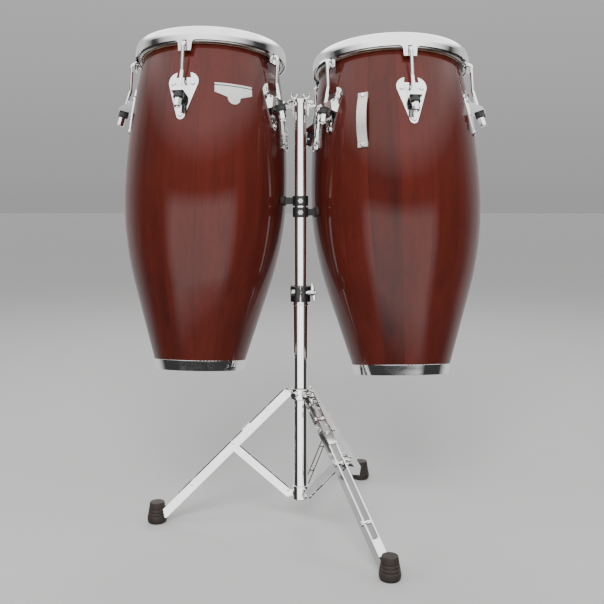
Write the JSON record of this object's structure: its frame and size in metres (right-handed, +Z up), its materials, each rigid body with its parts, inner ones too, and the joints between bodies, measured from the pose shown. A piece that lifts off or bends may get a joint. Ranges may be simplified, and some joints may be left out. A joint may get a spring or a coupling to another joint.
{
  "type": "pair of conga drums on a folding stand",
  "caption": "Pair of tall barrel-shaped hand drums with skin heads, chromed rims and tuning rods, held side by side on a height-adjustable folding tripod stand.",
  "frame": {"origin": "on the floor, on the axis of the stand's mast", "axes": "+Z up along the mast, +X towards the right-hand drum, -Y towards the player"},
  "size_m": [0.8398, 0.6265, 1.08],
  "materials": {
    "stained_wood": "deep red-brown stain under gloss lacquer",
    "rawhide": "natural hide, matte",
    "chrome_plate": "bright chrome plating",
    "bright_steel": "plain zinc-bright steel",
    "silver_trim": "satin silver",
    "black_plastic": "black moulded plastic",
    "black_rubber": "black-brown rubber"
  },
  "bodies": {
    "base": {"base_tube": "chrome_plate", "base_hub": "chrome_plate", "strut_pins": "chrome_plate", "clamp_sleeve": "black_plastic", "height_clamp": "black_plastic", "clamp_nut": "bright_steel"},
    "clamp_bolt": {"clamp_bolt": "chrome_plate"},
    "collar": {"leg_collar": "chrome_plate", "leg_pins": "chrome_plate"},
    "collar_screw": {"collar_screw": "chrome_plate"},
    "mast_bush": {"mast_bush": "black_plastic"},
    "mast": {"mast": "chrome_plate", "crosshead": "chrome_plate", "left_shell": "stained_wood", "left_head": "rawhide", "left_flesh_hoop": "bright_steel", "left_rim": "chrome_plate", "left_side_plates": "chrome_plate", "left_stand_bracket": "chrome_plate", "right_shell": "stained_wood", "right_head": "rawhide", "right_flesh_hoop": "bright_steel", "right_rim": "chrome_plate", "right_side_plates": "chrome_plate", "right_stand_bracket": "chrome_plate", "left_badge": "silver_trim", "right_handle": "silver_trim", "bottom_bands": "chrome_plate", "tuning_hooks": "chrome_plate", "rod_bushings": "black_plastic", "shell_bolts": "chrome_plate", "shell_bolt_nuts": "bright_steel"},
    "leg_left": {"leg_left": "chrome_plate", "foot_left": "black_rubber"},
    "strut_left": {"strut_left": "chrome_plate"},
    "leg_front": {"leg_front": "chrome_plate", "foot_front": "black_rubber"},
    "strut_front": {"strut_front": "chrome_plate"},
    "leg_rear": {"leg_rear": "chrome_plate", "foot_rear": "black_rubber"},
    "strut_rear": {"strut_rear": "chrome_plate"},
    "left_tuning_nut_1": {"left_tuning_nut_1": "chrome_plate"},
    "left_tuning_nut_2": {"left_tuning_nut_2": "chrome_plate"},
    "left_tuning_nut_3": {"left_tuning_nut_3": "chrome_plate"},
    "left_tuning_nut_4": {"left_tuning_nut_4": "chrome_plate"},
    "left_tuning_nut_5": {"left_tuning_nut_5": "chrome_plate"},
    "left_crosshead_knob": {"left_crosshead_knob": "chrome_plate"},
    "left_bumper": {"left_bumper": "black_plastic", "left_bumper_pad": "black_rubber"},
    "left_bumper_screw": {"left_bumper_screw": "bright_steel"},
    "right_tuning_nut_1": {"right_tuning_nut_1": "chrome_plate"},
    "right_tuning_nut_2": {"right_tuning_nut_2": "chrome_plate"},
    "right_tuning_nut_3": {"right_tuning_nut_3": "chrome_plate"},
    "right_tuning_nut_4": {"right_tuning_nut_4": "chrome_plate"},
    "right_tuning_nut_5": {"right_tuning_nut_5": "chrome_plate"},
    "right_tuning_nut_6": {"right_tuning_nut_6": "chrome_plate"},
    "right_crosshead_knob": {"right_crosshead_knob": "chrome_plate"},
    "right_bumper": {"right_bumper": "black_plastic", "right_bumper_pad": "black_rubber"},
    "right_bumper_screw": {"right_bumper_screw": "bright_steel"}
  },
  "joints": [
    {"name": "clamp_bolt_turn", "type": "hinge", "parent": "base", "child": "clamp_bolt", "pos_m": [0, -0.028, 0.5046], "axis": [1, 0, 0], "continuous": true},
    {"name": "collar_slide", "type": "slide", "parent": "base", "child": "collar", "axis": [0, 0, 1], "range_m": [0, 0.1]},
    {"name": "collar_screw_turn", "type": "hinge", "parent": "collar", "child": "collar_screw", "pos_m": [-0.011, -0.01905, 0.282], "axis": [-0.5, -0.866, 0], "continuous": true},
    {"name": "height_slide", "type": "slide", "parent": "base", "child": "mast_bush", "axis": [0, 0, 1], "range_m": [-0.08, 0.22]},
    {"name": "mast_swivel", "type": "hinge", "parent": "mast_bush", "child": "mast", "pos_m": [0, 0, 0.2], "axis": [0, 0, 1], "continuous": true},
    {"name": "leg_left_fold", "type": "hinge", "parent": "collar", "child": "leg_left", "pos_m": [-0.0316, 0, 0.282], "axis": [0, -1, 0], "range_deg": [0, 37.56]},
    {"name": "strut_left_fold", "type": "hinge", "parent": "base", "child": "strut_left", "pos_m": [-0.027, 0, 0.065], "axis": [0, 1, 0], "range_deg": [0, 39.73]},
    {"name": "leg_front_fold", "type": "hinge", "parent": "collar", "child": "leg_front", "pos_m": [0.01674, -0.0268, 0.282], "axis": [0.848, 0.5299, 0], "range_deg": [0, 37.56]},
    {"name": "strut_front_fold", "type": "hinge", "parent": "base", "child": "strut_front", "pos_m": [0.01431, -0.0229, 0.065], "axis": [-0.848, -0.5299, 0], "range_deg": [0, 39.73]},
    {"name": "leg_rear_fold", "type": "hinge", "parent": "collar", "child": "leg_rear", "pos_m": [0.01532, 0.02764, 0.282], "axis": [-0.8746, 0.4848, 0], "range_deg": [0, 37.56]},
    {"name": "strut_rear_fold", "type": "hinge", "parent": "base", "child": "strut_rear", "pos_m": [0.01309, 0.02362, 0.065], "axis": [0.8746, -0.4848, 0], "range_deg": [0, 39.73]},
    {"name": "left_tuning_nut_1_turn", "type": "hinge", "parent": "mast", "child": "left_tuning_nut_1", "pos_m": [-0.25502, -0.08736, 0.91698], "axis": [-0.0685, -0.3642, -0.9288], "continuous": true},
    {"name": "left_tuning_nut_2_turn", "type": "hinge", "parent": "mast", "child": "left_tuning_nut_2", "pos_m": [-0.0414, 0.00328, 0.89882], "axis": [0.1742, -0.2612, -0.9494], "continuous": true},
    {"name": "left_tuning_nut_3_turn", "type": "hinge", "parent": "mast", "child": "left_tuning_nut_3", "pos_m": [-0.06319, 0.23243, 0.86419], "axis": [0.1494, -0.0009, -0.9888], "continuous": true},
    {"name": "left_tuning_nut_4_turn", "type": "hinge", "parent": "mast", "child": "left_tuning_nut_4", "pos_m": [-0.29029, 0.28341, 0.86095], "axis": [-0.1086, 0.057, -0.9925], "continuous": true},
    {"name": "left_tuning_nut_5_turn", "type": "hinge", "parent": "mast", "child": "left_tuning_nut_5", "pos_m": [-0.40885, 0.08576, 0.89358], "axis": [-0.2432, -0.1675, -0.9554], "continuous": true},
    {"name": "left_crosshead_knob_turn", "type": "hinge", "parent": "mast", "child": "left_crosshead_knob", "pos_m": [-0.01291, 0.02023, 0.9256], "axis": [0, 0, 1], "continuous": true},
    {"name": "left_bumper_swing", "type": "hinge", "parent": "mast", "child": "left_bumper", "pos_m": [0, 0, 0.703], "axis": [0, 0, 1], "range_deg": [0, 60]},
    {"name": "left_bumper_screw_turn", "type": "hinge", "parent": "left_bumper", "child": "left_bumper_screw", "pos_m": [0, -0.017, 0.703], "axis": [0, -1, 0], "continuous": true},
    {"name": "right_tuning_nut_1_turn", "type": "hinge", "parent": "mast", "child": "right_tuning_nut_1", "pos_m": [0.24115, -0.07767, 0.90931], "axis": [0.0422, -0.3969, -0.9169], "continuous": true},
    {"name": "right_tuning_nut_2_turn", "type": "hinge", "parent": "mast", "child": "right_tuning_nut_2", "pos_m": [0.40614, 0.04567, 0.8889], "axis": [0.2215, -0.2629, -0.9391], "continuous": true},
    {"name": "right_tuning_nut_3_turn", "type": "hinge", "parent": "mast", "child": "right_tuning_nut_3", "pos_m": [0.38039, 0.24756, 0.8511], "axis": [0.1935, -0.0435, -0.9801], "continuous": true},
    {"name": "right_tuning_nut_4_turn", "type": "hinge", "parent": "mast", "child": "right_tuning_nut_4", "pos_m": [0.18966, 0.32611, 0.83371], "axis": [-0.0138, 0.0418, -0.999], "continuous": true},
    {"name": "right_tuning_nut_5_turn", "type": "hinge", "parent": "mast", "child": "right_tuning_nut_5", "pos_m": [0.02467, 0.20277, 0.85412], "axis": [-0.1931, -0.0922, -0.9768], "continuous": true},
    {"name": "right_tuning_nut_6_turn", "type": "hinge", "parent": "mast", "child": "right_tuning_nut_6", "pos_m": [0.05041, 0.00088, 0.89192], "axis": [-0.1651, -0.3116, -0.9358], "continuous": true},
    {"name": "right_crosshead_knob_turn", "type": "hinge", "parent": "mast", "child": "right_crosshead_knob", "pos_m": [0.01257, 0.02044, 0.9256], "axis": [0, 0, 1], "continuous": true},
    {"name": "right_bumper_swing", "type": "hinge", "parent": "mast", "child": "right_bumper", "pos_m": [0, 0, 0.678], "axis": [0, 0, -1], "range_deg": [0, 60]},
    {"name": "right_bumper_screw_turn", "type": "hinge", "parent": "right_bumper", "child": "right_bumper_screw", "pos_m": [0, -0.017, 0.678], "axis": [0, -1, 0], "continuous": true}
  ],
  "couplings": [
    {"joint": "leg_left_fold", "follows": "collar_slide", "rad_per_m": 6.5534},
    {"joint": "strut_left_fold", "follows": "collar_slide", "rad_per_m": 6.9311},
    {"joint": "leg_front_fold", "follows": "collar_slide", "rad_per_m": 6.5534},
    {"joint": "strut_front_fold", "follows": "collar_slide", "rad_per_m": 6.9311},
    {"joint": "leg_rear_fold", "follows": "collar_slide", "rad_per_m": 6.5534},
    {"joint": "strut_rear_fold", "follows": "collar_slide", "rad_per_m": 6.9311}
  ]
}
